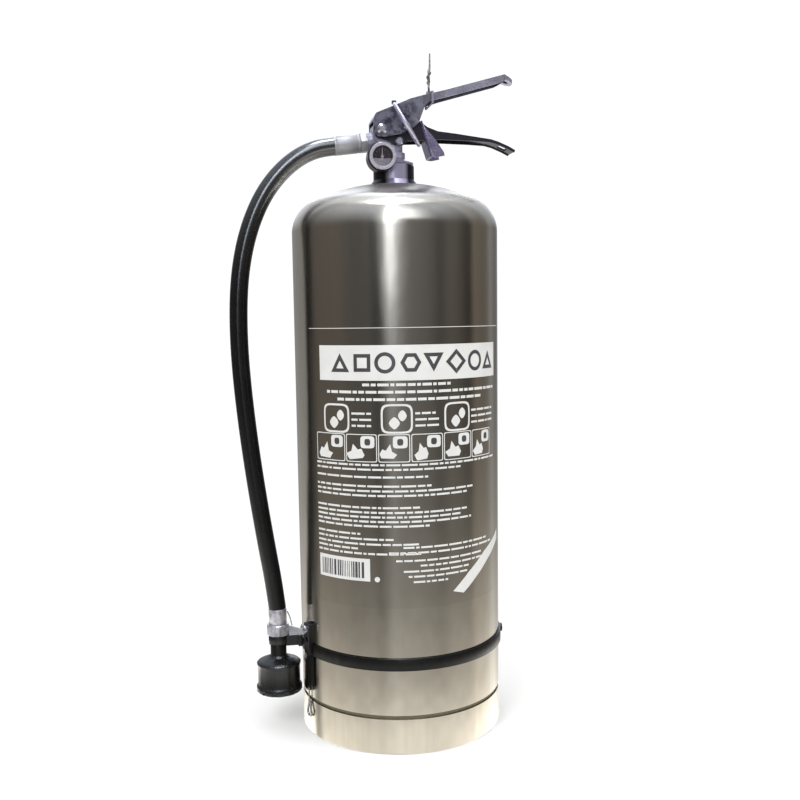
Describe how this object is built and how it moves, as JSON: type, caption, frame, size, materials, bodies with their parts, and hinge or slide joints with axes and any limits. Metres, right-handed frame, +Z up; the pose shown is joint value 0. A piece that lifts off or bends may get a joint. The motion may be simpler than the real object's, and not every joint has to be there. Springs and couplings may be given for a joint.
{
  "type": "fire extinguisher",
  "caption": "Upright stainless cylinder with a squeeze-lever valve, gauge, safety pin and ring, and a side hose to a bell nozzle held by a strap clip.",
  "frame": {"origin": "centre of the foot ring on the floor, on the cylinder's axis", "axes": "+Z up along the cylinder, +X towards the tips of the levers, -Y towards the label and the gauge"},
  "size_m": [0.2535, 0.184, 0.5926],
  "materials": {
    "stainless": "polished drawn stainless steel",
    "neck_steel": "turned and polished",
    "rubber": "moulded seal rubber",
    "label_print": "printed film on the steel",
    "cast_alloy": "cast, satin plated",
    "brass": "turned",
    "tube_plastic": "natural polypropylene",
    "spring_steel": "drawn wire",
    "lever_metal": "satin plated pressing",
    "handle_metal": "dark plated pressing",
    "guard_metal": "satin plated pressing",
    "rivet_steel": "plated steel",
    "ring_steel": "plated wire",
    "seal_plastic": "moulded plastic",
    "seal_dark": "moulded plastic",
    "gauge_black": "moulded case",
    "bezel_chrome": "plated rim",
    "dial_print": "printed dial",
    "needle_paint": "painted pointer",
    "lens": "clear window",
    "hose_rubber": "smooth extruded rubber",
    "bright_alloy": "bright crimped alloy",
    "nozzle_black": "moulded plastic",
    "strap_rubber": "flat rubber strap",
    "clip_black": "moulded plastic"
  },
  "bodies": {
    "extinguisher": {"bottom_dish": "stainless", "buckle_screw": "rivet_steel", "carrying_handle": "handle_metal", "clip_bar": "bright_alloy", "clip_wire": "spring_steel", "cylinder_shell": "stainless", "dip_strainer": "tube_plastic", "dip_tube": "tube_plastic", "gauge_bezel": "bezel_chrome", "gauge_case": "gauge_black", "gauge_dial": "dial_print", "gauge_lens": "lens", "gauge_tube": "brass", "handle_screw_far": "rivet_steel", "handle_screw_near": "rivet_steel", "hose": "hose_rubber", "hose_ferrule": "bright_alloy", "hose_nut": "bright_alloy", "inlet_plug": "brass", "knuckle_guard": "guard_metal", "label": "label_print", "lever_pivot": "rivet_steel", "neck_oring": "rubber", "neck_ring": "neck_steel", "nozzle_clip": "clip_black", "nozzle_collar": "bright_alloy", "nozzle_ferrule": "bright_alloy", "nozzle_horn": "nozzle_black", "skirt_ring": "stainless", "spray_insert": "brass", "strap_band": "strap_rubber", "strap_buckle": "clip_black", "strap_stud": "clip_black", "strap_tail_a": "strap_rubber", "strap_tail_b": "strap_rubber", "tail_loop": "spring_steel", "valve_body": "cast_alloy", "valve_spring": "spring_steel"},
    "lever": {"squeeze_lever": "lever_metal", "seal_band": "seal_plastic", "seal_cord": "seal_dark"},
    "stem": {"valve_stem": "brass", "stem_seal": "rubber"},
    "pin": {"safety_pin": "rivet_steel"},
    "ring": {"pull_ring": "ring_steel"},
    "needle": {"gauge_needle": "needle_paint"}
  },
  "joints": [
    {"name": "lever_squeeze", "type": "hinge", "parent": "extinguisher", "child": "lever", "pos_m": [-0.012, 0, 0.5254], "axis": [0, 1, 0], "range_deg": [0, 20], "stiffness_Nm_per_rad": 6, "springref_deg": -11.46},
    {"name": "stem_slide", "type": "slide", "parent": "extinguisher", "child": "stem", "axis": [0, 0, -1], "range_m": [0, 0.0055], "deforming": ["valve_spring"]},
    {"name": "pin_pull", "type": "slide", "parent": "extinguisher", "child": "pin", "axis": [0, -1, 0], "range_m": [0, 0.04]},
    {"name": "ring_swing", "type": "hinge", "parent": "pin", "child": "ring", "pos_m": [0.009, -0.0184, 0.527], "axis": [0.5225, 0, -0.8526], "range_deg": [-70, 45]},
    {"name": "needle_sweep", "type": "hinge", "parent": "extinguisher", "child": "needle", "pos_m": [-0.0144, -0.0278, 0.5002], "axis": [0, 1, 0], "range_deg": [-110, 70], "stiffness_Nm_per_rad": 0.0005}
  ],
  "couplings": [
    {"joint": "stem_slide", "follows": "lever_squeeze", "m_per_rad": 0.0157}
  ]
}
